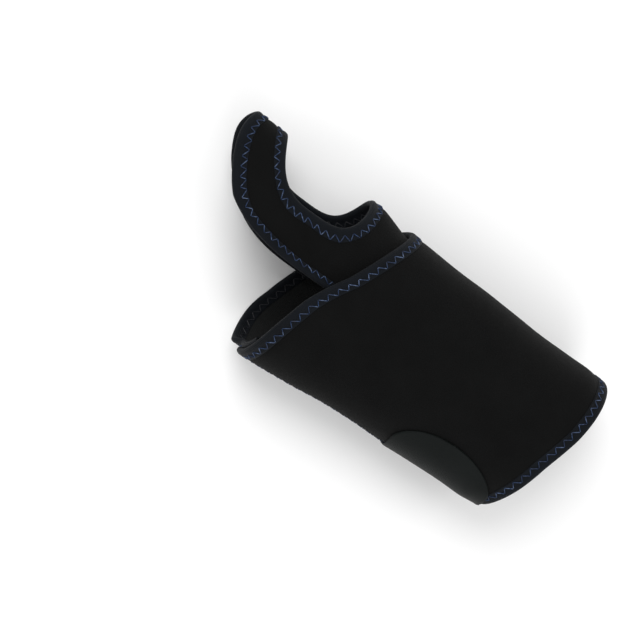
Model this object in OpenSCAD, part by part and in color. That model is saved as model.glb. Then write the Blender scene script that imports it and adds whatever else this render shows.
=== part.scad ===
// Wrist splint: a wrap-around neoprene sleeve that opens along its thumb side,
// a thumb loop that leaves the sleeve at the hand end, a hook tab that closes the
// sleeve on the little-finger side, and a removable aluminium stay over the palm.
//
// Frame: +X towards the fingers, -Y towards the thumb, +Z out of the palm. It is
// shaped for a right hand; the left one is its mirror image in Y.
// The back of the wrist lies on z = 0, and the origin is the middle of that flat.
//
// Sleeve surface: a point is (x, v, t). v is the angle round the arm: 0 thumb side,
// 90 palm, 180 little-finger side, 270 back. t is the height over the outer face.

/* [Sleeve] */
// Half of the sleeve's width at x = 0
half_width = 43; // [39:0.5:47]
// Thickness of the wrist from palm to back, outside
depth = 56; // [52:0.5:62]
// Thickness of the neoprene laminate
laminate = 3.2; // [3:0.1:3.6]
// Width of the binding tape that shows on each face of an edge
binding = 7; // [5:0.5:8]

/* [Thumb loop] */
// Reach of the loop beyond the origin
loop_reach = 140; // [134:1:146]
// Half of the thumb hole's length
hole_half_length = 25; // [23:0.5:25.5]
// Half of the thumb hole's opening, as an angle round the arm
hole_half_angle = 54; // [46:1:55]

/* [Closure] */
// Half of the hook tab's width
tab_half_width = 28.5; // [22:0.5:29]
// Angle round the arm that the tab's rounded end reaches
tab_tip_angle = 129.5; // [126:0.5:138]

/* [Stay] */
// Length of the aluminium stay
stay_length = 100; // [90:1:102]
// Width of the aluminium stay
stay_width = 23; // [18:1:23]
// Thickness of the aluminium stay
stay_thickness = 1.4; // [1:0.1:1.5]

/* [Hidden] */

mid_z = depth / 2;           // height of the widest line of the sleeve
taper = 0.035;               // growth of the half width per millimetre towards the hand
waist = 0.00033;             // growth with the square of the distance from the wrist
palm_flat = 10;              // half width of the flat over the palm
back_flat = 17;              // half width of the flat under the back of the wrist
flat_from = 72;              // angle off the side line at which a flat starts
tape = 0.5;                  // thickness of the binding tape
tape_gap = 0.05;             // tape to laminate
layer_gap = 0.4;             // between two layers of laminate
ramp = 1.5;                  // width over which the laminate thins into a binding
thin = laminate / 2 - tape - tape_gap;  // half thickness of laminate inside a binding
under = -laminate - layer_gap;          // outer face of the layer inside the sleeve

hinge_gap = 0.4;             // angle left open at the fold line on the thumb side
flap_end = 186;              // angle of the palm panel's free edge
underlap_end = 150;          // angle of the back panel's free edge, inside the palm panel
step_in = [188, 201];        // angles between which the back panel steps inside
back_reach = 3.6;            // extra reach of the back panel's hand rim
edge_tape = 11.5;            // angle that a binding covers along a free edge

tab_x = -33;                 // middle of the tab at its fold line
tab_slant = -0.15;           // the tab leans towards the hand by this much per degree
tab_slant_from = 180;
tab_fold = 200;              // angle of the tab's fold line
tab_root_end = 230;          // angle at which the sewn end of the tab stops
tab_round_from = 154;        // angle at which the tab's round end starts
tab_lift = 0.2;              // hook patch to sleeve
hook_height = 0.4;
tab_thickness = 0.5;

loop_thickness = 3;
loop_gap = 0.12;             // tape to laminate on the loop's tighter curves
loop_thin = loop_thickness / 2 - tape - loop_gap;
loop_start = 75;             // where the loop's edge starts to round off
loop_edge_power = 2.7;
web_dip = 5;                 // how far the loop's hand end dips over the web of the thumb
hole_x = loop_reach - 47;    // middle of the thumb hole
hole_round = [0.8, 0.5];     // how round the hole's hand end and squarer wrist end are
loop_start_out = 1.4;        // the loop starts this far outside the sleeve's rim
tongue_start = 12;

pocket_half = 13.6;
pocket_wall = 0.6;
pocket_floor_z = depth - 6.2;
pocket_x = [-60, 44];
stay_z = depth - 5.1;
stay_end_x = 42;
tip_length = 8;
tip_wall = 0.2;
$fn = 48;

// ---- small helpers ----
function mix(a, b, f) = a + (b - a) * f;
function clamp01(f) = min(1, max(0, f));
function smooth(f) = let (g = clamp01(f)) g * g * (3 - 2 * g);
function signed_pow(c, p) = sign(c) * pow(abs(c), p);
function steps(a, b, n) = [for (i = [0:n]) mix(a, b, i / n)];
function reversed(l) = [for (i = [len(l) - 1:-1:0]) l[i]];

// One quarter of a section: a flat of half width w, then a quarter ellipse down to
// the side line at y = a. Gives [y, z, normal y, normal z] for angle q off the side.
function quarter(q, a, h, w) =
    q >= flat_from
        ? [w * (90 - q) / (90 - flat_from), h, 0, 1]
        : let (b = q * 90 / flat_from,
               n = [cos(b) / (a - w), sin(b) / h],
               m = norm(n))
          [w + (a - w) * cos(b), h * sin(b), n[0] / m, n[1] / m];

// A point on a closed section of half width a: hp over the palm, hb under the back.
function section(x, v, t, a, hp, hb) =
    let (palm = sin(v) >= 0,
         q = asin(min(1, abs(sin(v)))),
         p = quarter(q, a, palm ? hp : hb, palm ? palm_flat : back_flat),
         sy = cos(v) >= 0 ? -1 : 1,
         sz = palm ? 1 : -1)
    [x, sy * (p[0] + t * p[2]), mid_z + sz * (p[1] + t * p[3])];

function sleeve_half(x) = half_width + taper * x + waist * x * x;
function sleeve(x, v, t) = section(x, v, t, sleeve_half(x), mid_z, mid_z);

// The sleeve's two rims: slanted, so that the thumb side is shorter. The back panel
// reaches a little further over the little-finger side of the hand.
function hand_rim(v) =
    let (w = v < 0 ? v + 360 : v)
    61 - 17.4 * cos(w) + (sin(w) > 0 ? 6.3 : 9.7) * pow(sin(w), 2)
        + back_reach * smooth((w - flap_end) / 14) * smooth((300 - w) / 70);
function arm_rim(v) = -69.5 - 8.5 * cos(v) - 0.5 * pow(sin(v), 2);

// The thumb loop's surface: it flares out of the sleeve and thins towards the web.
function loop_far(x) = clamp01((x - 50) / (loop_reach - 50));
function loop_half(x, v) =
    sleeve_half(min(x, 60)) + under + 3.6 * smooth((x - hand_rim(v)) / 20) + 2.2 * loop_far(x);
function loop_rise(x) = mid_z + under - 11.2 * pow(loop_far(x), 1.2);
function loop(x, v, t) = section(x, v, t, loop_half(x, v), loop_rise(x), loop_rise(x));

// ---- solids swept from a strip that has a near row and a far row of points ----
function ring_of(near, far) = concat(near, reversed(far));
module swept(rings, closed = false) {
    n = len(rings);
    m = len(rings[0]);
    k = m / 2;
    last = closed ? n - 1 : n - 2;
    sides = [for (i = [0:last], j = [0:m - 1])
        let (a = i * m + j,
             b = i * m + (j + 1) % m,
             c = ((i + 1) % n) * m + (j + 1) % m,
             d = ((i + 1) % n) * m + j)
        each [[a, c, b], [a, d, c]]];
    caps = closed ? [] : [for (j = [0:k - 2])
        let (e = (n - 1) * m)
        each [[j, m - 2 - j, m - 1 - j], [j, j + 1, m - 2 - j],
              [e + j, e + m - 1 - j, e + m - 2 - j], [e + j, e + m - 2 - j, e + j + 1]]];
    polyhedron(points = [for (r = rings) each r], faces = concat(sides, caps));
}

// ---- sleeve panels: rows of points run from the arm rim to the hand rim ----
// [distance from the rim, half thickness] where a bound edge thins the laminate
function edge_rows(full) = [[0, thin], [binding, thin], [binding + ramp, full]];
// Distance from the arm rim at fraction f of the run between the rims' bindings
function edge_run(length, f) = mix(binding + 0.3, length - binding - 0.3, f);
function panel_rows(length, full) =
    let (e = edge_rows(full))
    concat(e, [for (f = [0.25, 0.5, 0.75]) [edge_run(length, f), full]],
           [for (r = reversed(e)) [length - r[0], r[1]]]);

// Height of the back panel's outer face: it steps inside the palm panel.
function back_level(v) = under * (1 - smooth((v - step_in[0]) / (step_in[1] - step_in[0])));

// A laminate panel. angles lists its [angle, half thickness].
module panel(angles, inside) {
    swept([for (av = angles)
        let (v = av[0],
             level = (inside ? back_level(v) : 0) - laminate / 2,
             length = hand_rim(v) - arm_rim(v),
             rows = panel_rows(length, av[1]))
        ring_of([for (r = rows) sleeve(arm_rim(v) + r[0], v, level + r[1])],
                [for (r = rows) sleeve(arm_rim(v) + r[0], v, level - r[1])])]);
}

// A U of binding tape over a panel's rim. way is +1 on the hand rim.
module rim_binding(angles, way, inside) {
    out = laminate / 2;
    swept([for (av = angles)
        let (v = av[0],
             rim = way > 0 ? hand_rim(v) : arm_rim(v),
             level = (inside ? back_level(v) : 0) - out,
             inner = thin + tape_gap,
             a = rim - way * binding,
             b = rim + way * (tape + tape_gap),
             c = rim + way * tape_gap,
             outer_path = [[a, out], [b, out], [b, -out], [a, -out]],
             inner_path = [[a, inner], [c, inner], [c, -inner], [a, -inner]],
             near = way > 0 ? outer_path : inner_path,
             far = way > 0 ? inner_path : outer_path)
        ring_of([for (p = near) sleeve(p[0], v, level + p[1])],
                [for (p = far) sleeve(p[0], v, level + p[1])])]);
}

// A U of binding tape along a free edge at angle v_edge; way is +1 if the edge is the
// panel's high angle. It stops short of the rims, where their own bindings are.
module edge_binding(v_edge, way, inside) {
    out = laminate / 2;
    inner = thin + tape_gap;
    lip = 0.9;
    paths = [[v_edge - way * edge_tape, v_edge + way * lip],
             [v_edge - way * edge_tape, v_edge + way * 0.1]];
    swept([for (f = steps(0, 1, 4))
        let (at = function(v, h)
                 sleeve(arm_rim(v) + edge_run(hand_rim(v) - arm_rim(v), f), v,
                        (inside ? back_level(v) : 0) - out + h),
             o = concat([for (v = steps(paths[0][0], paths[0][1], 3)) at(v, out)],
                        [for (v = steps(paths[0][1], paths[0][0], 3)) at(v, -out)]),
             i = concat([for (v = steps(paths[1][0], paths[1][1], 3)) at(v, inner)],
                        [for (v = steps(paths[1][1], paths[1][0], 3)) at(v, -inner)]))
        way > 0 ? ring_of(i, o) : ring_of(o, i)]);
}

// [angle, half thickness] round each panel, thin where its free edge is bound
palm_angles = concat(
    [for (v = steps(hinge_gap, flap_end - edge_tape - 2, 30)) [v, laminate / 2]],
    [for (v = steps(flap_end - edge_tape, flap_end, 3)) [v, thin]]);
back_angles = concat(
    [for (v = steps(underlap_end, underlap_end + edge_tape, 3)) [v, thin]],
    [for (v = steps(underlap_end + edge_tape + 2, step_in[0], 7)) [v, laminate / 2]],
    [for (v = steps(step_in[0] + 2, step_in[1], 7)) [v, laminate / 2]],
    [for (v = steps(step_in[1] + 4, 252, 6)) [v, laminate / 2]],
    [for (v = steps(288, 360, 12)) [v, laminate / 2]]);

module palm_panel() { color("#1c1d1d") panel(palm_angles, false); }
module palm_hand_binding() { color("#23262b") rim_binding(palm_angles, 1, false); }
module palm_arm_binding() { color("#23262b") rim_binding(palm_angles, -1, false); }
module palm_edge_binding() { color("#23262b") edge_binding(flap_end, 1, false); }

module dorsal_panel() { color("#1c1d1d") panel(back_angles, true); }
module dorsal_hand_binding() { color("#23262b") rim_binding(back_angles, 1, true); }
module dorsal_arm_binding() { color("#23262b") rim_binding(back_angles, -1, true); }
module dorsal_edge_binding() { color("#23262b") edge_binding(underlap_end, -1, true); }

// ---- closure tab: D-shaped, over the little-finger side ----
// Middle and half width of the tab at angle v; the width is less by an inset
function tab_middle(v) = tab_x + tab_slant * min(0, v - tab_slant_from);
function tab_half(v, inset) =
    let (f = clamp01((tab_round_from - v) / (tab_round_from - tab_tip_angle)))
    (tab_half_width - inset) * sqrt(1 - f * f * 0.999);
module tab_layer(v0, v1, low, high, inset) {
    round_part = [for (k = steps(0, 90, 10)) tab_round_from - (tab_round_from - v0) * sin(k)];
    angles = concat(steps(v1, tab_round_from + 4, 9), round_part);
    swept([for (v = angles)
        let (c = tab_middle(v), h = tab_half(v, inset), xs = steps(c - h, c + h, 4))
        ring_of([for (x = xs) sleeve(x, v, low)], [for (x = xs) sleeve(x, v, high)])]);
}
module closure_tab() {
    low = tab_lift + hook_height + tape_gap;
    color("#272a29") tab_layer(tab_tip_angle, tab_fold - hinge_gap, low, low + tab_thickness, 0);
}
module hook_patch() {
    color("#151515") tab_layer(tab_tip_angle + 2.5, 188, tab_lift, tab_lift + hook_height, 2);
}
module tab_root() {
    low = tab_lift + hook_height + tape_gap;
    color("#272a29") swept([for (v = steps(tab_root_end, tab_fold + hinge_gap, 6))
        let (drop = mix(low, 0.15, smooth((v - tab_fold) / 20)),
             xs = steps(tab_x - tab_half_width, tab_x + tab_half_width, 4))
        ring_of([for (x = xs) sleeve(x, v, drop)],
                [for (x = xs) sleeve(x, v, drop + tab_thickness)])]);
}

// ---- stay and pocket, on the flat over the palm ----
module along_x(x0, x1) {
    translate([x0, 0, 0]) rotate([90, 0, 90]) linear_extrude(x1 - x0) children();
}
module stay_pocket() {
    top = depth - laminate - tape_gap;
    color("#202224") {
        along_x(pocket_x[0], pocket_x[1]) polygon([
            [-pocket_half, pocket_floor_z], [pocket_half, pocket_floor_z], [pocket_half, top - 0.35],
            [pocket_half - pocket_wall, top - 0.35], [pocket_half - pocket_wall, pocket_floor_z + pocket_wall],
            [-pocket_half + pocket_wall, pocket_floor_z + pocket_wall],
            [-pocket_half + pocket_wall, top - 0.35], [-pocket_half, top - 0.35]]);
        along_x(pocket_x[1] - 0.1, pocket_x[1] + pocket_wall)
            translate([-pocket_half, pocket_floor_z]) square([2 * pocket_half, top - 0.35 - pocket_floor_z]);
    }
}
module stay_outline(r) {
    x0 = stay_end_x - stay_length;
    translate([x0 + stay_width / 2, -r]) square([stay_length - stay_width, 2 * r]);
    for (x = [x0, stay_end_x - stay_width]) translate([x + stay_width / 2, 0]) circle(r);
}
module palm_stay() {
    color("silver") translate([0, 0, stay_z]) linear_extrude(stay_thickness) stay_outline(stay_width / 2);
}
// A dipped tip: a thin cap round one end of the stay
module stay_tip(x0) {
    difference() {
        intersection() {
            translate([0, 0, stay_z - tip_wall])
                linear_extrude(stay_thickness + 2 * tip_wall) stay_outline(stay_width / 2 + tip_wall + tape_gap);
            translate([x0, -20, 0]) cube([tip_length, 40, 2 * depth]);
        }
        translate([0, 0, stay_z - tape_gap / 5])
            linear_extrude(stay_thickness + 2 * tape_gap / 5) stay_outline(stay_width / 2 + tape_gap);
    }
}
module stay_tip_hand() { color("#303030") stay_tip(stay_end_x - tip_length + 1); }
module stay_tip_arm() { color("#303030") stay_tip(stay_end_x - stay_length - 1); }

// ---- thumb loop ----
// The loop is laid out in (x, v). turn goes round the hole: 0 is the hand end.
function hole_edge(turn) =
    let (e = cos(turn) > 0 ? hole_round[0] : hole_round[1])
    [hole_x + hole_half_length * signed_pow(cos(turn), e),
     hole_half_angle * signed_pow(sin(turn), e)];
function loop_base(v) = hand_rim(v) + loop_start_out;
// The outer edge: round over the hand end, straight over the palm and the back,
// and along the sleeve's rim at the wrist end.
function outer_edge(turn) =
    let (s = turn > 180 ? turn - 360 : turn, u = abs(s), side = s < 0 ? -1 : 1)
    u <= 90
        ? let (v = 90 * pow(sin(u), 2 / loop_edge_power))
          [mix(loop_start, loop_reach, pow(cos(u), 2 / loop_edge_power))
               - web_dip * smooth(1 - v / 45), side * v]
        : u <= 115
            ? [mix(loop_start, loop_base(side * 90), (u - 90) / 25), side * 90]
            : let (v = side * 90 * (180 - u) / 65) [loop_base(v), v];
function loop_at(turn, f, t) =
    let (a = hole_edge(turn), b = outer_edge(turn), p = mix(a, b, f))
    loop(p[0], p[1], t);
function loop_span(turn) = norm(loop_at(turn, 0, 0) - loop_at(turn, 1, 0));
loop_turns = [for (i = [0:79]) i * 4.5];

module loop_panel() {
    c = -loop_thickness / 2;
    full = loop_thickness / 2;
    b = binding;
    color("#1c1d1d") swept([for (a = loop_turns)
        let (w = loop_span(a),
             rows = [[0, loop_thin], [b / 2, loop_thin], [b, loop_thin], [b + ramp, full],
                     [w / 2, full],
                     [w - b - ramp, full], [w - b, loop_thin], [w - b / 2, loop_thin], [w, loop_thin]])
        ring_of([for (r = rows) loop_at(a, r[0] / w, c - r[1])],
                [for (r = rows) loop_at(a, r[0] / w, c + r[1])])], true);
}
// A U of tape over one edge of the loop; from_hole is true round the thumb hole
module loop_tape(turns, from_hole, closed) {
    c = -loop_thickness / 2;
    out = loop_thickness / 2;
    inner = loop_thin + loop_gap;
    lip = tape + loop_gap;
    swept([for (a = turns)
        let (w = loop_span(a),
             at = function(d, h) loop_at(a, (from_hole ? d : w - d) / w, c + h),
             o = [at(binding, out), at(binding / 2, out), at(-lip, out),
                  at(-lip, -out), at(binding / 2, -out), at(binding, -out)],
             i = [at(binding, inner), at(binding / 2, inner), at(-loop_gap, inner),
                  at(-loop_gap, -inner), at(binding / 2, -inner), at(binding, -inner)])
        from_hole ? ring_of(o, i) : ring_of(i, o)], closed);
}
module thumb_hole_binding() { color("#23262b") loop_tape(loop_turns, true, true); }
module loop_outer_binding() { color("#23262b") loop_tape([for (i = [-24:24]) i * 4.5], false, false); }

// The tongue is the loop's sewn end, inside the sleeve. Over the palm it tapers
// away from the stay's pocket.
function tongue_limit(f) = mix(50, 90, smooth((f - 0.6) / 0.3));
module loop_tongue() {
    for (side = [1, -1]) {
        color("#1c1d1d") swept([for (k = steps(0, 1, 14))
            let (cell = function(f, t)
                    let (v = side > 0 ? k * tongue_limit(f) : -k * 90,
                         base = loop_base(v) - 0.4,
                         x = mix(tongue_start, base, f))
                    loop(x, v, t),
                 fs = steps(0, 1, 10))
            side > 0
                ? ring_of([for (f = fs) cell(f, 0)], [for (f = fs) cell(f, -loop_thickness)])
                : ring_of([for (f = fs) cell(f, -loop_thickness)], [for (f = fs) cell(f, 0)])]);
    }
}

dorsal_panel();
dorsal_hand_binding();
dorsal_arm_binding();
dorsal_edge_binding();
palm_panel();
palm_hand_binding();
palm_arm_binding();
palm_edge_binding();
stay_pocket();
palm_stay();
stay_tip_hand();
stay_tip_arm();
closure_tab();
hook_patch();
tab_root();
loop_tongue();
loop_panel();
loop_outer_binding();
thumb_hole_binding();
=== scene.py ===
"""Looks of the wrist splint: neoprene shells, edge tapes, zigzag stitching, thumb loop, hook tab and stay.

Lengths are in millimetres and angles in degrees until a mesh is made; meshes are in metres in the row frame:
+X towards the fingers, -Y towards the thumb, +Z out of the palm. A point of the sleeve is (x, v, t): v is the
angle round the arm (0 thumb side, 90 palm, 180 little-finger side, 270 back) and t is the height over the
outer face. In the tapes and seams, (s, d, t) is a station along the edge, a distance from it and a height.
"""

import math

import bpy
import numpy as np
from mathutils import Matrix, Vector


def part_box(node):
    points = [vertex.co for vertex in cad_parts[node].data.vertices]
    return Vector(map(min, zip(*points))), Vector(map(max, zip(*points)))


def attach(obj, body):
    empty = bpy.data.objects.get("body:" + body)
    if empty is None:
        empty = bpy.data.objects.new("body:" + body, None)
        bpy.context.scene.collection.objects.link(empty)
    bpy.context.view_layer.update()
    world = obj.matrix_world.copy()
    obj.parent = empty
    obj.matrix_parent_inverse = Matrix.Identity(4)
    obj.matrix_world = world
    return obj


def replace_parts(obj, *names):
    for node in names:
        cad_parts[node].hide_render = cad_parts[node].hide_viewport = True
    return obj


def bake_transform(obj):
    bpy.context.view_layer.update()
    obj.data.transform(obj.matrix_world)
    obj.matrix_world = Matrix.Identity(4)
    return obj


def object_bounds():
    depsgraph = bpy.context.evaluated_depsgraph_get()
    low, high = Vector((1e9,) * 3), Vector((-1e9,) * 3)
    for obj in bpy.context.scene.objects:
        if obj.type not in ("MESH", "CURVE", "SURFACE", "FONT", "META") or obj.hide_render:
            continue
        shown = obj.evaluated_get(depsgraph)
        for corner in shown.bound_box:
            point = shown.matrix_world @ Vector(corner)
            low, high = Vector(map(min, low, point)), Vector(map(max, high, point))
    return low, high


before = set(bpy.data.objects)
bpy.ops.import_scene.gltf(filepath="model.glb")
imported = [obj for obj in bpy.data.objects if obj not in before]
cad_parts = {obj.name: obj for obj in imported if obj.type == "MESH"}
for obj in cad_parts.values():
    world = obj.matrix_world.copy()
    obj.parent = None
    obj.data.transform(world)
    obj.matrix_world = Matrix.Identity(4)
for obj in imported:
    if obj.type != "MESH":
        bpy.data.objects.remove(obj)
cad_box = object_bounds()

MM = 0.001


def node_box(node):
    """Lowest and highest corner of a CAD node, in millimetres."""
    low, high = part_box(node)
    return np.array(low) / MM, np.array(high) / MM


# ---- sizes: the same surfaces as the CAD part ----
DEPTH = (cad_box[1].z - cad_box[0].z) / MM
MID_Z = DEPTH / 2
HALF_WIDTH = 43.0
TAPER = 0.035
WAIST = 0.00033
PALM_FLAT, BACK_FLAT = 10.0, 17.0
FLAT_FROM = 72.0
LAMINATE = 3.2
LAYER_GAP = 0.4
UNDER = -LAMINATE - LAYER_GAP
FLAP_END = 186.0
UNDERLAP_END = 150.0
STEP_IN = (188.0, 201.0)
MM_PER_DEGREE = 0.62  # along the sleeve's little-finger side
BACK_SEAM = 288.0  # the back shell and the palm shell meet here, on the flat under the wrist

# Rims, as x over the angle round the arm: the middle, the slant across the hand, the bow over palm and back.
HAND_RIM_X, HAND_RIM_SLANT, HAND_RIM_BOW = 61.0, 17.4, (6.3, 9.7)
ARM_RIM_X, ARM_RIM_SLANT, ARM_RIM_BOW = -69.5, 8.5, 0.5
BACK_REACH = 3.6  # how far the back panel passes the palm panel at the little-finger side

# Cloth: the palm's dome over the CAD flat, the arm rim's curl, and waves as (length, height, count).
CROWN = 0.9
RIM_CURL, RIM_CURL_LENGTH = 0.9, 13.0
WAVE_KINDS = ((62, 0.16, 5), (24, 0.05, 7))

LOOP_THICKNESS = 3.0
LOOP_START = 75.0
LOOP_REACH = 140.0
LOOP_RISE_LOSS = 11.2  # the loop is this much flatter than the sleeve at its hand end
LOOP_FLARE, LOOP_SPREAD = 3.6, 2.2  # how much wider it gets, past the hand rim and towards its hand end
LOOP_EDGE_POWER = 2.7
WEB_DIP = 5.0
HOLE_X = LOOP_REACH - 47
HOLE_HALF_LENGTH = 25.0
HOLE_HALF_ANGLE = 54.0
HOLE_ROUND = (0.8, 0.5)  # how round the hole's hand end and its squarer wrist end are
TONGUE_START = 12.0
TONGUE_INSET = 7.0  # the loop's seam lies this far inside the hand rim

TAB_LOW, TAB_HIGH = node_box("tab_root")
TAB_X = (TAB_LOW[0] + TAB_HIGH[0]) / 2
TAB_HALF = (TAB_HIGH[0] - TAB_LOW[0]) / 2
TAB_SLANT, TAB_SLANT_FROM = -0.15, 180.0
TAB_TIP, TAB_ROUND_FROM, TAB_FOLD, TAB_ROOT_END = 129.5, 154.0, 200.0, 230.0
TAB_THICKNESS, TAB_RIM, TAB_BASE = 0.75, 0.12, 0.35


def smooth(f):
    g = np.clip(f, 0, 1)
    return g * g * (3 - 2 * g)


def sind(v):
    return np.sin(np.radians(v))


def cosd(v):
    return np.cos(np.radians(v))


def steepness(v):
    """Angle from the nearer side line: 0 at both sides, 90 at the middle of the palm and of the back."""
    return np.degrees(np.arcsin(np.minimum(1, np.abs(sind(v)))))


def signed_pow(c, p):
    return np.sign(c) * np.abs(c) ** p


def spaced(a, b, step):
    return np.linspace(a, b, max(2, round(abs(b - a) / step)) + 1)


def run_length(points):
    """Distance along a row of points, from its start to each point."""
    return np.concatenate([[0], np.cumsum(np.linalg.norm(np.diff(points, axis=0), axis=1))])


def quarter(q, a, h, w):
    """One quarter of a section, with its normals: a flat of half width w, then a quarter ellipse to y = a."""
    b = np.radians(q * 90 / FLAT_FROM)
    ny, nz = np.cos(b) / (a - w), np.sin(b) / h
    m = np.hypot(ny, nz)
    flat = q >= FLAT_FROM
    y = np.where(flat, w * (90 - q) / (90 - FLAT_FROM), w + (a - w) * np.cos(b))
    z = np.where(flat, h, h * np.sin(b))
    return y, z, np.where(flat, 0, ny / m), np.where(flat, 1, nz / m)


def section(x, v, t, a, rise):
    """A point on a closed section of half width a and half height rise."""
    x, v, t, a, rise = np.broadcast_arrays(x, v, t, a, rise)
    palm = sind(v) >= 0
    y, z, ny, nz = quarter(steepness(v), a, rise, np.where(palm, PALM_FLAT, BACK_FLAT))
    side = np.where(cosd(v) >= 0, -1, 1)
    up = np.where(palm, 1, -1)
    return np.stack([x, side * (y + t * ny), MID_Z + up * (z + t * nz)], -1)


def sleeve_half(x):
    return HALF_WIDTH + TAPER * x + WAIST * x * x


def crown(v):
    """The palm face is slightly domed; the back stays flat, because the splint rests on it."""
    return np.where(sind(v) > 0, CROWN * smooth((steepness(v) - 46) / 44), 0)


def wave_set(seed=5):
    """Sine waves in fixed pseudo-random directions, as (direction, phase, height)."""
    rng = np.random.default_rng(seed)
    made = []
    for length, height, count in WAVE_KINDS:
        for _ in range(count):
            direction = rng.normal(size=3)
            direction *= 2 * math.pi / (length * rng.uniform(0.8, 1.25)) / np.linalg.norm(direction)
            made.append((direction, rng.uniform(0, 2 * math.pi), height))
    return made


WAVES = wave_set()


def waves(x, v):
    """Shallow waviness of the cloth, the same for every layer. There is none where the splint rests."""
    x, v = np.broadcast_arrays(np.asarray(x, float), np.asarray(v, float))
    free = np.where(sind(v) < 0, 1 - smooth((steepness(v) - 45) / 20), 1)
    place = np.stack([x, 42 * cosd(v), 28 * sind(v)], -1)
    height = sum(size * np.sin(place @ direction + phase) for direction, phase, size in WAVES)
    return free * height


def sleeve(x, v, t):
    return section(x, v, t + crown(v) + waves(x, v) - rim_curl(x, v), sleeve_half(x), MID_Z)


def hand_rim(v):
    v = np.where(np.asarray(v) < 0, np.asarray(v) + 360, v)
    slant = HAND_RIM_X - HAND_RIM_SLANT * cosd(v) + np.where(sind(v) > 0, *HAND_RIM_BOW) * sind(v) ** 2
    return slant + BACK_REACH * smooth((v - FLAP_END) / 14) * smooth((300 - v) / 70)


def arm_rim(v):
    return ARM_RIM_X - ARM_RIM_SLANT * cosd(v) - ARM_RIM_BOW * sind(v) ** 2


def rim_curl(x, v):
    """The arm rim's seam draws the sides in, but neither the flat back nor the palm over the stay."""
    side = 1 - smooth((steepness(v) - 25) / 30)
    return RIM_CURL * side * smooth(1 - (x - arm_rim(v)) / RIM_CURL_LENGTH)


def back_level(v):
    """Height of the back panel's outer face: it steps inside the palm panel."""
    return UNDER * (1 - smooth((v - STEP_IN[0]) / (STEP_IN[1] - STEP_IN[0])))


def palm_level(v):
    return 0 * v


def loop_far(x):
    return np.clip((x - 50) / (LOOP_REACH - 50), 0, 1)


def loop_half(x, v):
    flare = LOOP_FLARE * smooth((x - hand_rim(v)) / 20)
    return sleeve_half(np.minimum(x, 60)) + UNDER + flare + LOOP_SPREAD * loop_far(x)


def loop(x, v, t):
    rise = MID_Z + UNDER - LOOP_RISE_LOSS * loop_far(x) ** 1.2
    return section(x, v, t + waves(x, v), loop_half(x, v), rise)


# ---- meshes ----
SHARP_FROM = 50.0  # edges that bend more than this are shaded sharp


def outward(points, faces):
    """Faces turned so that a closed mesh faces out."""
    volume = 0.0
    for f in faces:
        a = points[f[0]]
        for i in range(1, len(f) - 1):
            volume += np.dot(a, np.cross(points[f[i]], points[f[i + 1]]))
    return faces if volume > 0 else [f[::-1] for f in faces]


def add_mesh(name, points, faces, materials, kinds=None, uv=None):
    """An object from points in millimetres. kinds is each face's material index; uv is per point."""
    points = np.asarray(points, float).reshape(-1, 3) * MM
    turned = outward(points, faces)
    mesh = bpy.data.meshes.new(name)
    mesh.from_pydata(points.tolist(), [], turned)
    for m in materials:
        mesh.materials.append(m)
    if kinds is not None:
        mesh.polygons.foreach_set("material_index", kinds)
    if uv is not None:
        layer = mesh.uv_layers.new(name="weave")
        corners = np.zeros(len(mesh.loops), np.int32)
        mesh.loops.foreach_get("vertex_index", corners)
        layer.data.foreach_set("uv", np.asarray(uv, np.float32).reshape(-1, 2)[corners].ravel())
    mesh.shade_smooth()
    mesh.set_sharp_from_angle(angle=math.radians(SHARP_FROM))
    mesh.update()
    obj = bpy.data.objects.new(name, mesh)
    bpy.context.scene.collection.objects.link(obj)
    return obj


def sweep(name, rings, materials, closed=False, column_kinds=None, uv=None):
    """A solid through rings[n, m, 3]: each ring is a closed loop of m points. Open sweeps get end caps."""
    n, m = rings.shape[:2]
    faces, kinds = [], []
    for i in range(n if closed else n - 1):
        a, b = i * m, ((i + 1) % n) * m
        for j in range(m):
            k = (j + 1) % m
            faces.append((a + j, a + k, b + k, b + j))
            kinds.append(column_kinds[j] if column_kinds else 0)
    if not closed:
        faces.append(tuple(range(m))[::-1])
        faces.append(tuple((n - 1) * m + j for j in range(m)))
        kinds += [0, 0]
    return add_mesh(name, rings, faces, materials, kinds, uv)


def slab(name, top, bottom, materials, uv=None):
    """A closed solid between two grids[n, m, 3]."""
    n, m = top.shape[:2]
    size = n * m
    faces = []
    for i in range(n - 1):
        for j in range(m - 1):
            a = i * m + j
            faces.append((a, a + 1, a + m + 1, a + m))
            faces.append((size + a, size + a + m, size + a + m + 1, size + a + 1))
    border = ([j for j in range(m - 1)] + [i * m + m - 1 for i in range(n - 1)]
              + [(n - 1) * m + j for j in range(m - 1, 0, -1)] + [i * m for i in range(n - 1, 0, -1)])
    for a, b in zip(border, border[1:] + border[:1]):
        faces.append((b, a, size + a, size + b))
    points = np.concatenate([top.reshape(-1, 3), bottom.reshape(-1, 3)])
    if uv is not None:
        uv = np.concatenate([uv.reshape(-1, 2), uv.reshape(-1, 2)])
    return add_mesh(name, points, faces, materials, uv=uv)


# ---- materials ----
def new_material(name, color, roughness, sheen=0.0, sheen_roughness=0.5, metallic=0.0, specular=0.5):
    mat = bpy.data.materials.new(name)
    mat.use_nodes = True
    tree = mat.node_tree
    shader = tree.nodes["Principled BSDF"]
    shader.inputs["Base Color"].default_value = (*color, 1)
    shader.inputs["Roughness"].default_value = roughness
    shader.inputs["Metallic"].default_value = metallic
    shader.inputs["Specular IOR Level"].default_value = specular
    shader.inputs["Sheen Weight"].default_value = sheen
    shader.inputs["Sheen Roughness"].default_value = sheen_roughness
    return mat, tree, shader


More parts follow.
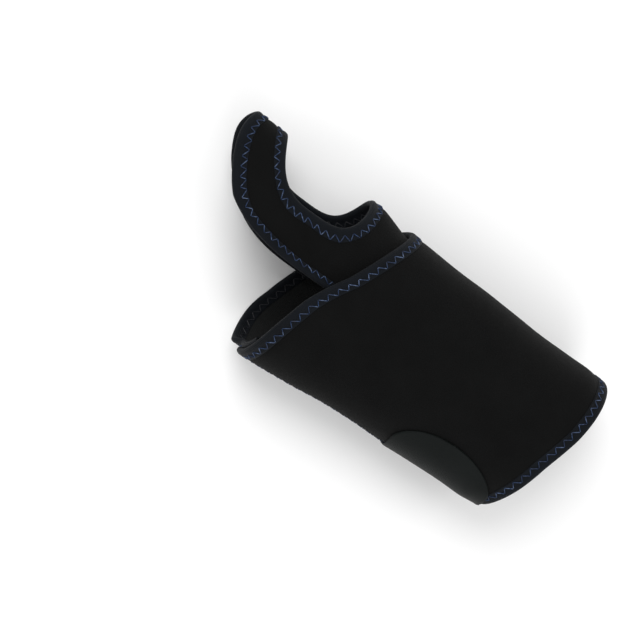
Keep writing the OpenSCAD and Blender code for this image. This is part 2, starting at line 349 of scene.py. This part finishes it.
def math_node(tree, operation, a, b=None):
    node = tree.nodes.new("ShaderNodeMath")
    node.operation = operation
    for socket, value in zip(node.inputs, (a, b)):
        if value is None:
            continue
        if hasattr(value, "is_output"):
            tree.links.new(value, socket)
        else:
            socket.default_value = value
    return node.outputs[0]


def noise_node(tree, coordinates, scale, detail=2.0, roughness=0.5):
    node = tree.nodes.new("ShaderNodeTexNoise")
    node.inputs["Scale"].default_value = scale
    node.inputs["Detail"].default_value = detail
    node.inputs["Roughness"].default_value = roughness
    tree.links.new(coordinates, node.inputs["Vector"])
    return node.outputs["Fac"]


def color_ramp(tree, factor, stops):
    node = tree.nodes.new("ShaderNodeValToRGB")
    elements = node.color_ramp.elements
    for element, (position, color) in zip(elements, (stops[0], stops[-1])):
        element.position, element.color = position, (*color, 1)
    for position, color in stops[1:-1]:
        elements.new(position).color = (*color, 1)
    tree.links.new(factor, node.inputs["Fac"])
    return node.outputs["Color"]


def object_coordinates(tree):
    return tree.nodes.new("ShaderNodeTexCoord").outputs["Object"]


def uv_coordinates(tree):
    node = tree.nodes.new("ShaderNodeUVMap")
    node.uv_map = "weave"
    return node.outputs["UV"]


def add_bump(tree, shader, height, strength, distance):
    bump = tree.nodes.new("ShaderNodeBump")
    bump.inputs["Strength"].default_value = strength
    bump.inputs["Distance"].default_value = distance
    tree.links.new(height, bump.inputs["Height"])
    tree.links.new(bump.outputs["Normal"], shader.inputs["Normal"])


def tinted(tree, shader, coordinates, color, spread, scale):
    """Base colour that drifts a little over the cloth."""
    low = tuple(c * (1 - spread) for c in color)
    high = tuple(c * (1 + spread) for c in color)
    drift = noise_node(tree, coordinates, scale, 4, 0.6)
    tree.links.new(color_ramp(tree, drift, [(0.3, low), (0.7, high)]), shader.inputs["Base Color"])


def knit(tree, pitch_u, pitch_v):
    """Height of a jersey knit, over the weave map. Its stitches lean left and right in turn."""
    split = tree.nodes.new("ShaderNodeSeparateXYZ")
    tree.links.new(uv_coordinates(tree), split.inputs[0])
    u, v = split.outputs[0], split.outputs[1]
    wale = math_node(tree, "MULTIPLY", u, 2 * math.pi / pitch_u)
    half_wale = math_node(tree, "SINE", math_node(tree, "MULTIPLY", wale, 0.5))
    lean = math_node(tree, "MULTIPLY", math_node(tree, "ABSOLUTE", half_wale), 0.8)
    course = math_node(tree, "ADD", math_node(tree, "MULTIPLY", v, 2 * math.pi / pitch_v),
                       math_node(tree, "MULTIPLY", lean, math.pi))
    ribs = math_node(tree, "MULTIPLY", math_node(tree, "COSINE", wale), 0.5)
    return math_node(tree, "ADD", ribs, math_node(tree, "MULTIPLY", math_node(tree, "SINE", course), 0.5))


def cloth_material(name, color, roughness, sheen, pitch, bump, specular=0.3, spread=0.18, fuzz=1400):
    mat, tree, shader = new_material(name, color, roughness, sheen, 0.45, specular=specular)
    coordinates = object_coordinates(tree)
    tinted(tree, shader, coordinates, color, spread, 55)
    height = math_node(tree, "ADD", knit(tree, *pitch),
                       math_node(tree, "MULTIPLY", noise_node(tree, coordinates, fuzz, 3, 0.7), 1.6))
    add_bump(tree, shader, height, 0.9, bump)
    return mat


NEOPRENE = cloth_material("neoprene_outer_knit", (0.0030, 0.0031, 0.0031), 0.75, 0.022, (0.62, 0.5), 0.00007,
                          specular=0.05)
LINING = cloth_material("neoprene_lining", (0.0075, 0.0080, 0.0080), 0.85, 0.06, (0.8, 0.7), 0.00010,
                        specular=0.10)
TAPE_CLOTH = cloth_material("edge_tape_knit", (0.0036, 0.0048, 0.0068), 0.66, 0.035, (0.55, 0.9), 0.00009,
                            specular=0.07)
TAB_CLOTH = cloth_material("tab_satin", (0.0048, 0.0060, 0.0058), 0.5, 0.0, (0.35, 0.35), 0.00002,
                           specular=0.05, fuzz=2600)
POCKET_CLOTH = cloth_material("pocket_weave", (0.008, 0.008, 0.009), 0.62, 0.05, (0.5, 0.5), 0.00008,
                              specular=0.2)


def thread_material():
    """Shiny blue thread, with highlights and shade painted into its blue at random spots by a noise."""
    mat, tree, shader = new_material("blue_thread", (0.02, 0.05, 0.13), 0.45, 0.03, 0.4, specular=0.28)
    coordinates = object_coordinates(tree)
    # the light stop is a painted highlight and the dark stop is painted shade, scattered over the thread by
    # noise
    glint_and_shade_stops = [(0.38, (0.004, 0.011, 0.036)), (0.52, (0.011, 0.029, 0.078)), (0.64, (0.070, 0.100, 0.175))]
    painted_glints_and_shade = color_ramp(tree, noise_node(tree, coordinates, 420, 3, 0.6), glint_and_shade_stops)
    tree.links.new(painted_glints_and_shade, shader.inputs["Base Color"])
    add_bump(tree, shader, noise_node(tree, coordinates, 5200, 1, 0.5), 0.7, 0.00006)
    return mat


def metal_material():
    """Rolled aluminium, streaked along the bar."""
    mat, tree, shader = new_material("stay_aluminium", (0.40, 0.41, 0.42), 0.34, metallic=1.0)
    mapping = tree.nodes.new("ShaderNodeMapping")
    mapping.inputs["Scale"].default_value = (18, 900, 900)
    tree.links.new(object_coordinates(tree), mapping.inputs["Vector"])
    streaks = noise_node(tree, mapping.outputs["Vector"], 3, 4, 0.6)
    rough = tree.nodes.new("ShaderNodeMapRange")
    rough.inputs["To Min"].default_value, rough.inputs["To Max"].default_value = 0.26, 0.46
    tree.links.new(streaks, rough.inputs["Value"])
    tree.links.new(rough.outputs["Result"], shader.inputs["Roughness"])
    add_bump(tree, shader, streaks, 0.5, 0.00003)
    return mat


def plain_material(name, color, roughness, scale, bump, specular=0.3):
    mat, tree, shader = new_material(name, color, roughness, specular=specular)
    coordinates = object_coordinates(tree)
    tinted(tree, shader, coordinates, color, 0.15, 90)
    add_bump(tree, shader, noise_node(tree, coordinates, scale, 3, 0.6), 0.6, bump)
    return mat


THREAD = thread_material()
BOBBIN = cloth_material("bobbin_thread", (0.006, 0.007, 0.010), 0.5, 0.05, (0.5, 0.5), 0.00002)
METAL = metal_material()
HOOKS = plain_material("hook_nylon", (0.008, 0.008, 0.008), 0.42, 1500, 0.00005, specular=0.2)
VINYL = plain_material("stay_tip_vinyl", (0.016, 0.016, 0.017), 0.35, 700, 0.00003)


# ---- hems: the tape that wraps every edge ----
# Height of the tape's outer face over the laminate's middle, by distance from the edge. It has a round
# bead at the edge, a dip where the seam pulls it in and a thin inner edge.
HEM_D = np.array([-0.60, -0.52, -0.30, 0.10, 0.70, 1.40, 2.20, 2.90, 3.60, 4.30, 5.00, 5.60, 5.85, 5.90])
HEM_T = np.array([0.00, 0.50, 0.95, 1.35, 1.62, 1.70, 1.60, 1.43, 1.36, 1.42, 1.52, 1.50, 1.38, 1.15])
SEAM_AT, SEAM_WIDTH, STITCH = 3.7, 3.1, 2.6
LOOP_SEAM, LOOP_STITCH, LOOP_SCALE = 4.4, 2.3, 0.94
THREAD_R = 0.21


def hem_top(d, scale=1.0):
    return np.interp(d, HEM_D, HEM_T) * scale


def tape_profile(scale):
    """Closed outline of the folded tape as (distance from the edge, height): outside first, then inside."""
    out = [(d, t * scale) for d, t in zip(HEM_D, HEM_T)][::-1]
    full = out + [(d, -t) for d, t in out[::-1][1:]]
    inner = [(5.80, 0.98), (4.3, 0.95), (2.9, 0.95), (1.4, 1.15), (0.5, 1.0), (0.05, 0.5), (-0.10, 0.0)]
    inner = [(d, t * scale) for d, t in inner]
    return np.array(full + [(d, -t) for d, t in inner] + [(d, t) for d, t in inner[::-1][1:]])


def shell_half(d, full):
    """Half thickness of the laminate: thin inside the tape, full a few millimetres beyond it."""
    return np.interp(d, [0.6, 4.0, 6.0, 7.2, 10.0, 14.0], [0.85, 0.85, 1.12, 1.36, full - 0.05, full])


def hem(name, surface, stations, closed=False, scale=1.0):
    """The folded tape along an edge. surface(s, d, t) is a point at station s, distance d and height t."""
    profile = tape_profile(scale)
    s = np.asarray(stations, float)[:, None]
    d = profile[None, :, 0]
    rings = surface(s, d, profile[None, :, 1])
    along = run_length(surface(s[:, 0], 3.0, 1.4))
    uv = np.stack(np.broadcast_arrays(along[:, None], run_length(profile)[None, :]), -1)
    return sweep(name, rings, [TAPE_CLOTH], closed, uv=uv)


def zigzag(name, surface, start, end, closed=False, seam_at=SEAM_AT, scale=1.0, stitch=STITCH):
    """Zigzag seam, blue outside and black inside: each thread dives into the tape at every needle hole."""
    fine = np.linspace(start, end, 600)
    made = []
    for face, suffix, mat in ((1, "_thread", THREAD), (-1, "_bobbin", BOBBIN)):
        run = run_length(surface(fine, seam_at, face * hem_top(seam_at, scale)))
        count = 2 * max(2, round(run[-1] / stitch / 2))
        holes = np.interp(np.linspace(0, run[-1], count + 1), run, fine)
        offsets = seam_at + SEAM_WIDTH / 2 * (-1.0) ** np.arange(count + 1)
        u = np.linspace(0, 1, 8)[:-1]
        s = (holes[:-1, None] + (holes[1:] - holes[:-1])[:, None] * u).ravel()
        d = (offsets[:-1, None] + (offsets[1:] - offsets[:-1])[:, None] * u).ravel()
        lift = np.tile(THREAD_R * 0.9 - 0.5 * np.abs(2 * u - 1) ** 5, count)
        if not closed:
            s, d, lift = np.append(s, holes[-1]), np.append(d, offsets[-1]), np.append(lift, -0.28)
        top = hem_top(d, scale)
        centre, above = (surface(s, d, face * (top + lift + height)) for height in (0, 1))
        made.append(tube(name + suffix, centre, above, closed, mat))
    return made


def tube(name, centre, above, closed, mat, sides=6):
    """A round thread along centre; above gives the surface's normal."""
    normal = above - centre
    normal /= np.linalg.norm(normal, axis=1)[:, None]
    tangent = np.roll(centre, -1, 0) - np.roll(centre, 1, 0) if closed else np.gradient(centre, axis=0)
    tangent /= np.linalg.norm(tangent, axis=1)[:, None]
    across = np.cross(tangent, normal)
    across /= np.linalg.norm(across, axis=1)[:, None]
    normal = np.cross(across, tangent)
    angle = np.linspace(0, 2 * math.pi, sides, endpoint=False)
    ring = np.cos(angle)[None, :, None] * normal[:, None] + np.sin(angle)[None, :, None] * across[:, None]
    rings = centre[:, None] + THREAD_R * ring
    return sweep(name, rings, [mat], closed, uv=np.zeros((len(centre), sides, 2)))


def on_fold(obj):
    """Bakes the transform into the mesh, for pieces by the thumb-side fold between the back and the palm
    flap.
    """
    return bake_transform(obj)


def on_loop(obj):
    """Bakes the transform into the mesh, for pieces of the thumb loop."""
    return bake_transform(obj)


# ---- sleeve ----
def laminate(name, outer, inside, across, closed=False):
    """Knit outside and lining inside, from two matching grids. across is each column's weave map place."""
    rings = np.concatenate([outer, inside[:, ::-1]], 1)
    k = outer.shape[1]
    arc = run_length(outer[:, k // 2])
    uv = np.stack(np.broadcast_arrays(np.concatenate([across, across[:, ::-1]], 1), arc[:, None]), -1)
    kinds = [0] * (k - 1) + [1] * (k + 1)
    return sweep(name, rings, [NEOPRENE, LINING], closed, kinds, uv)


def shell(name, angles, level, free_edge):
    """Laminate between two angles, closed from rim to rim. The free edge is thinned for its tape."""
    v = angles[:, None]
    length = hand_rim(v) - arm_rim(v)
    near = np.array([0.6, 2.5, 4.5, 5.9, 6.6, 7.6, 9.2, 11.5, 14.5])  # closer where the tape presses in
    inner = np.linspace(0, 1, 30)[1:-1][None, :]
    middle = near[-1] + (length - 2 * near[-1]) * inner
    d = np.concatenate([near + 0 * v, middle, length - near[::-1]], 1)
    to_edge = np.abs(v - free_edge) * MM_PER_DEGREE
    half = shell_half(np.minimum(np.minimum(d, length - d), to_edge), LAMINATE / 2)
    x = arm_rim(v) + d
    centre = level(v) - LAMINATE / 2
    return laminate(name, sleeve(x, v, centre + half), sleeve(x, v, centre - half), x)


def rim_surface(rim, way, level):
    """Along a rim of the sleeve: the station is the angle round the arm."""
    return lambda s, d, t: sleeve(rim(s) - way * d, s, level(s) - LAMINATE / 2 + t)


EDGE_INSET = 2.5  # a free edge's tape ends this far inside the rims, under their tapes


def edge_surface(v_edge, way, level):
    """Along a free edge of the sleeve: station 0 at the arm rim and 1 at the hand rim."""
    def surface(s, d, t):
        v = v_edge - way * d / MM_PER_DEGREE
        low, high = arm_rim(v_edge) + EDGE_INSET, hand_rim(v_edge) - EDGE_INSET
        return sleeve(low + (high - low) * s, v, level(v) - LAMINATE / 2 + t)
    return surface


back_angles = np.concatenate([spaced(UNDERLAP_END + 0.6, 186, 1.6), spaced(187, 204, 1),
                              spaced(206, BACK_SEAM, 2.5)])
palm_angles = spaced(BACK_SEAM - 360, FLAP_END - 0.6, 1.9)

back_shell = shell("back_shell", back_angles, back_level, UNDERLAP_END)
palm_shell = shell("palm_shell", palm_angles, palm_level, FLAP_END)
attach(back_shell, "sleeve")
on_fold(palm_shell)

for rim_name, rim, way in (("hand", hand_rim, 1), ("arm", arm_rim, -1)):
    back = rim_surface(rim, way, back_level)
    palm = rim_surface(rim, way, palm_level)
    back_v = spaced(UNDERLAP_END - 0.4, BACK_SEAM, 1.3)
    palm_v = spaced(BACK_SEAM - 360, FLAP_END + 0.4, 1.3)
    tape = hem(f"back_{rim_name}_tape", back, back_v)
    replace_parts(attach(tape, "sleeve"), f"dorsal_{rim_name}_binding")
    for thread in zigzag(f"back_{rim_name}", back, UNDERLAP_END + 1, BACK_SEAM):
        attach(thread, "sleeve")
    tape = hem(f"palm_{rim_name}_tape", palm, palm_v)
    on_fold(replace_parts(tape, f"palm_{rim_name}_binding"))
    for thread in zigzag(f"palm_{rim_name}", palm, BACK_SEAM - 360, FLAP_END - 1):
        on_fold(thread)

for edge_name, v_edge, way, level, body, node in (
        ("flap_edge", FLAP_END, 1, palm_level, "palm_flap", "palm_edge_binding"),
        ("underlap_edge", UNDERLAP_END, -1, back_level, "sleeve", "dorsal_edge_binding")):
    surface = edge_surface(v_edge, way, level)
    tape = hem(f"{edge_name}_tape", surface, np.linspace(0, 1, 90))
    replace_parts(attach(tape, body), node)
    for thread in zigzag(edge_name, surface, 0.035, 0.965):
        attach(thread, body)

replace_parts(back_shell, "dorsal_panel")
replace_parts(palm_shell, "palm_panel")


# ---- thumb loop ----
# A turn goes round the loop's band in degrees: 0 at the hand end, 90 over the palm, 180 at the sewn end.
BAND_END = 112  # the outer tape's last turn, before the sewn end


def hole_edge(turn):
    power = np.where(cosd(turn) > 0, *HOLE_ROUND)
    return (HOLE_X + HOLE_HALF_LENGTH * signed_pow(cosd(turn), power),
            HOLE_HALF_ANGLE * signed_pow(sind(turn), power))


def outer_edge(turn):
    """Round over the hand end, straight over palm and back, then round the tongue inside the sleeve."""
    s = np.where(turn > 180, turn - 360, turn)
    u, side = np.abs(s), np.where(s < 0, -1.0, 1.0)
    arc_x = LOOP_START + (LOOP_REACH - LOOP_START) * np.maximum(cosd(u), 0) ** (2 / LOOP_EDGE_POWER)
    arc_v = 90 * np.minimum(1, sind(np.minimum(u, 90)) ** (2 / LOOP_EDGE_POWER))
    arc_x = arc_x - WEB_DIP * smooth(1 - arc_v / 45)
    base = hand_rim(side * 90) - TONGUE_INSET
    line_x = LOOP_START + (base - LOOP_START) * (u - 90) / 25
    v = side * 90 * (180 - u) / 65
    deep = 1 - np.where(side > 0, smooth((np.abs(v) - 30) / 42), smooth((np.abs(v) - 72) / 18))
    tongue_x = (hand_rim(v) - TONGUE_INSET) * (1 - deep) + TONGUE_START * deep
    x = np.where(u <= 90, arc_x, np.where(u <= 115, line_x, tongue_x))
    return x, np.where(u <= 90, side * arc_v, np.where(u <= 115, side * 90, v))


def loop_at(turn, f, t):
    (ax, av), (bx, bv) = hole_edge(turn), outer_edge(turn)
    return loop(ax + (bx - ax) * f, av + (bv - av) * f, t)


def loop_span(turn):
    """Width of the loop's band at each turn, along the surface."""
    f = np.linspace(0, 1, 12)
    line = loop_at(np.asarray(turn, float)[..., None], f, 0.0)
    return np.linalg.norm(np.diff(line, axis=-2), axis=-1).sum(-1)


def loop_edge_surface(from_hole):
    """Along the thumb hole's edge or the loop's outer edge: the station is the turn."""
    def surface(s, d, t):
        w = loop_span(np.asarray(s, float).ravel()).reshape(np.shape(s))
        return loop_at(s, (d if from_hole else w - d) / w, t - LOOP_THICKNESS / 2)
    return surface


def loop_shell():
    turns = np.linspace(0, 360, 200, endpoint=False)
    turn = turns[:, None]
    w = loop_span(turns)[:, None]
    near = np.array([0.6, 2.5, 4.5, 5.9, 6.6, 7.6, 9.0])
    inner = np.linspace(0, 1, 12)[1:-1][None, :]
    d = np.concatenate([near + 0 * w, near[-1] + (w - 2 * near[-1]) * inner, w - near[::-1]], 1)
    full = LOOP_THICKNESS / 2
    sewn = np.abs(np.where(turn > 180, turn - 360, turn)) > BAND_END
    half = np.minimum(shell_half(d, full), np.where(sewn, full, shell_half(w - d, full)))
    outer, inside = (loop_at(turn, d / w, face * half - full) for face in (1, -1))
    return laminate("loop_shell", outer, inside, d, closed=True)


loop_body = loop_shell()
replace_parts(on_loop(loop_body), "loop_panel", "loop_tongue")
hole_side, outer_side = loop_edge_surface(True), loop_edge_surface(False)
hole_tape = hem("thumb_hole_tape", hole_side, np.linspace(0, 360, 190, endpoint=False), True, LOOP_SCALE)
on_loop(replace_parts(hole_tape, "thumb_hole_binding"))
for thread in (zigzag("thumb_hole", hole_side, 0, 360, True, LOOP_SEAM, LOOP_SCALE, LOOP_STITCH)
               + zigzag("loop_outer", outer_side, -110, 110, False, LOOP_SEAM, LOOP_SCALE, LOOP_STITCH)):
    on_loop(thread)
outer_tape = hem("loop_outer_tape", outer_side, np.linspace(-BAND_END, BAND_END, 210), scale=LOOP_SCALE)
on_loop(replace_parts(outer_tape, "loop_outer_binding"))


# ---- closure tab ----
def tab_middle(v):
    return TAB_X + TAB_SLANT * np.minimum(0, v - TAB_SLANT_FROM)


def tab_half(v):
    f = np.clip((TAB_ROUND_FROM - v) / (TAB_ROUND_FROM - TAB_TIP), 0, 1)
    return TAB_HALF * np.sqrt(1 - f * f * 0.999)


def closure_tab():
    """D-shaped tab with a soft rolled edge; its root lies down on the back panel."""
    tip = TAB_ROUND_FROM - (TAB_ROUND_FROM - TAB_TIP) * sind(np.linspace(90, 0, 30))
    v = np.concatenate([tip, spaced(TAB_ROUND_FROM, TAB_FOLD - 5, 1.6)[1:],
                        spaced(TAB_FOLD - 4.5, TAB_FOLD + 4.5, 0.7),
                        spaced(TAB_FOLD + 5.5, TAB_ROOT_END, 1.8)])[:, None]
    u = sind(np.linspace(-90, 90, 61))[None, :]
    across = tab_half(v) * u
    # outline of the flat cut, as (distance from the middle, distance along the strap)
    rim_v = np.concatenate([tip, np.linspace(TAB_ROUND_FROM, TAB_ROOT_END, 60)])
    root = np.linspace(-TAB_HALF, TAB_HALF, 60)
    sides = [np.column_stack([side * tab_half(rim_v), rim_v * MM_PER_DEGREE]) for side in (-1, 1)]
    outline = np.concatenate(sides + [np.column_stack([root, np.full(60, TAB_ROOT_END * MM_PER_DEGREE)])])
    here = np.stack(np.broadcast_arrays(across, v * MM_PER_DEGREE), -1)
    away = np.linalg.norm(here[..., None, :] - outline, axis=-1).min(-1)
    roll = np.sqrt(1 - (1 - np.clip(away / 0.8, 0, 1)) ** 2) * (np.abs(u) < 0.9999)
    low = TAB_BASE * (1 - smooth((v - TAB_FOLD) / 18)) + 0.05 + 0 * across
    high = low + TAB_RIM + (TAB_THICKNESS - TAB_RIM) * roll
    x = tab_middle(v) + across
    uv = np.stack(np.broadcast_arrays(x, v * MM_PER_DEGREE), -1)
    return slab("closure_tab_cloth", sleeve(x, v, high), sleeve(x, v, low), [TAB_CLOTH], uv)


tab_cloth = closure_tab()
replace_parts(tab_cloth, "closure_tab", "tab_root")
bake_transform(tab_cloth)


# ---- stay ----
STAY_LOW, STAY_HIGH = node_box("palm_stay")
STAY_HALF = (STAY_HIGH[1] - STAY_LOW[1]) / 2
CAP_WALL = 0.25


def stay_bar(bevel=0.25):
    """A flat bar with round ends and softened edges."""
    outline = []
    for x, start in ((STAY_HIGH[0] - STAY_HALF, -90), (STAY_LOW[0] + STAY_HALF, 90)):
        angles = np.linspace(start, start + 180, 25)
        outline += [(x + STAY_HALF * cosd(a), STAY_HALF * sind(a)) for a in angles]
    outline = np.array(outline)
    centre = outline.mean(0)
    half_length = (STAY_HIGH[0] - STAY_LOW[0]) / 2
    z0, z1 = STAY_LOW[2], STAY_HIGH[2]
    rings = []
    for inset, z in ((bevel, z0), (0, z0 + bevel), (0, z1 - bevel), (bevel, z1)):
        flat = centre + (outline - centre) * (1 - inset / np.array([half_length, STAY_HALF]))
        rings.append(np.column_stack([flat, np.full(len(flat), z)]))
    return sweep("stay_bar", np.array(rings), [METAL])


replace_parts(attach(stay_bar(), "stay"), "palm_stay")


def stay_cap(name, node, way):
    """A dipped vinyl cap round one end of the stay."""
    low, high = node_box(node)
    mid_z, thick = (low[2] + high[2]) / 2, (high[2] - low[2]) / 2
    tip, mouth = (high[0], low[0]) if way > 0 else (low[0], high[0])
    over = [(0, 0.0), (0.02, 0.75), (0.06, 1.0), (0.5, 1.02), (0.96, 1.0), (1.0, 0.86)]  # tip to mouth
    profile = over + [(f, -h) for f, h in over[:0:-1]]
    rings = []
    for a in np.linspace(-62, 62, 33):
        x_out = tip - way * (STAY_HALF + CAP_WALL) * (1 - cosd(a))
        y = (STAY_HALF + CAP_WALL) * sind(a)
        rings.append([(x_out + (mouth - x_out) * f, y, mid_z + thick * h) for f, h in profile])
    return sweep(name, np.array(rings), [VINYL])


for cap, node, way in (("stay_cap_hand", "stay_tip_hand", 1), ("stay_cap_arm", "stay_tip_arm", -1)):
    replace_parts(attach(stay_cap(cap, node, way), "stay"), node)


# ---- pocket ----
def pocket():
    """Woven channel under the palm laminate: two sewn flanges, side walls and a floor over the stay."""
    low, high = node_box("stay_pocket")
    half = high[1]
    wall = 0.55
    xs = np.linspace(low[0], high[0], 70)
    rings = []
    for x in xs:
        puff = 0.12 * math.sin(x / 7.3) + 0.08 * math.sin(x / 2.9 + 1)
        floor = low[2] + 0.15 + 0.12 * puff
        path = [(half, high[2]), (half - 0.15, high[2] - 0.9), (half - 0.5, floor + 0.35),
                (half - 1.3, floor), (half * 0.45, floor - 0.05 + puff * 0.2), (0, floor - 0.08)]
        path += [(-y, z) for y, z in path[-2::-1]]
        inner = [(y * (1 - wall / half), z + (wall if abs(y) < half - 0.9 else wall * 0.35)) for y, z in path]
        inner[0] = (inner[0][0], high[2])
        inner[-1] = (inner[-1][0], high[2])
        rings.append([(x, y, z) for y, z in path + inner[::-1]])
    uv = np.stack(np.broadcast_arrays(xs[:, None], np.arange(len(rings[0]))[None, :] * 1.5), -1)
    return sweep("stay_pocket_cloth", np.array(rings), [POCKET_CLOTH], uv=uv)


pocket_cloth = pocket()
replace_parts(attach(pocket_cloth, "palm_flap"), "stay_pocket")


# ---- hooks ----
HOOK_HALF = 0.16  # half the width of a hook's square section
HOOK_PITCH, HOOK_ROWS, HOOK_STAGGER = 1.25, 1.55, 0.6
BACKING_MARGIN, PIN_MARGIN = 2.2, 2.8  # from the tab's edge
BACKING_SPAN, PIN_SPAN = (TAB_TIP + 3.5, 187.5), (TAB_TIP + 4.5, 187.0)
# A hook's section from its root to its bent tip, as (height over the sleeve, shift towards the hand, scale).
HOOK_SECTIONS = ((TAB_BASE - 0.1, 0, 1.3), (0.16, 0.05, 1.0), (0.02, 0.30, 0.8))


def hook_backing():
    v = np.linspace(*BACKING_SPAN, 30)[:, None]
    x = tab_middle(v) + np.maximum(tab_half(v) - BACKING_MARGIN, 0.4) * np.linspace(-1, 1, 33)[None, :]
    return slab("hook_backing", sleeve(x, v, TAB_BASE - 0.02), sleeve(x, v, TAB_BASE - 0.16), [HOOKS])


def hook_pins():
    """A field of small bent hooks, seen when the tab is peeled."""
    points, faces = [], []
    for row, a in enumerate(np.arange(*PIN_SPAN, HOOK_ROWS)):
        reach = tab_half(a) - PIN_MARGIN
        for b in np.arange(-reach, reach, HOOK_PITCH):
            x = tab_middle(a) + b + (HOOK_STAGGER if row % 2 else 0)
            base = len(points)
            for level, shift, scale in HOOK_SECTIONS:
                r = HOOK_HALF * scale
                for dx, dv in ((-1, -1), (1, -1), (1, 1), (-1, 1)):
                    points.append(sleeve(x + dx * r + shift, a + dv * r / MM_PER_DEGREE, level))
            for k in (base, base + 4):
                faces += [(k + j, k + (j + 1) % 4, k + 4 + (j + 1) % 4, k + 4 + j) for j in range(4)]
            faces += [(base, base + 3, base + 2, base + 1), (base + 8, base + 9, base + 10, base + 11)]
    return add_mesh("hook_pins", points, faces, [HOOKS])


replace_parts(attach(hook_backing(), "tab"), "hook_patch")
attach(hook_pins(), "tab")


# ---- camera, at the photograph's angle ----
TILT = 13.5  # how far the camera leans towards the fingers from straight over the palm
FINGERS_ACROSS, FINGERS_UP = -0.8169, 0.5768  # the fingers' direction in the image
to_camera = Vector((math.sin(math.radians(TILT)), 0, math.cos(math.radians(TILT))))
along = Vector((math.cos(math.radians(TILT)), 0, -math.sin(math.radians(TILT))))
thumb = Vector((0, -1, 0))
right = FINGERS_ACROSS * along + FINGERS_UP * thumb
up = FINGERS_UP * along - FINGERS_ACROSS * thumb
AIM = Vector((0.0577, 0.0111, MID_Z * MM))
DISTANCE = 0.70
facing = Matrix((right, up, to_camera)).transposed().to_4x4()
camera_data = bpy.data.cameras.new("camera")
camera_data.lens = 85
camera_data.sensor_width = 36
camera = bpy.data.objects.new("camera", camera_data)
camera.matrix_world = Matrix.Translation(AIM + DISTANCE * to_camera) @ facing
bpy.context.scene.collection.objects.link(camera)
bpy.context.scene.camera = camera


# ---- floor and light ----
def stage_floor(half=3.0):
    mesh = bpy.data.meshes.new("floor")
    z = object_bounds()[0].z
    corners = [(-half, -half, z), (half, -half, z), (half, half, z), (-half, half, z)]
    mesh.from_pydata(corners, [], [(0, 1, 2, 3)])
    mesh.materials.append(new_material("floor_white", (0.86, 0.86, 0.86), 0.6, specular=0.2)[0])
    obj = bpy.data.objects.new("floor", mesh)
    bpy.context.scene.collection.objects.link(obj)


def soft_light(name, place, aim, size, power):
    data = bpy.data.lights.new(name, "AREA")
    data.shape = "DISK"
    data.size = size
    data.energy = power
    obj = bpy.data.objects.new(name, data)
    obj.location = place
    obj.rotation_euler = (Vector(aim) - Vector(place)).to_track_quat("-Z", "Y").to_euler()
    bpy.context.scene.collection.objects.link(obj)


stage_floor()
world = bpy.data.worlds.new("world")
world.use_nodes = True
background = world.node_tree.nodes["Background"]
background.inputs["Color"].default_value = (1, 1, 1, 1)
background.inputs["Strength"].default_value = 0.85
bpy.context.scene.world = world
soft_light("key", (0.8, -0.6, 1.2), (0.03, 0, 0.02), 0.9, 12)
soft_light("fill", (-0.7, 0.8, 0.9), (0.03, 0, 0.02), 0.9, 5)
bpy.context.scene.view_settings.view_transform = "Standard"
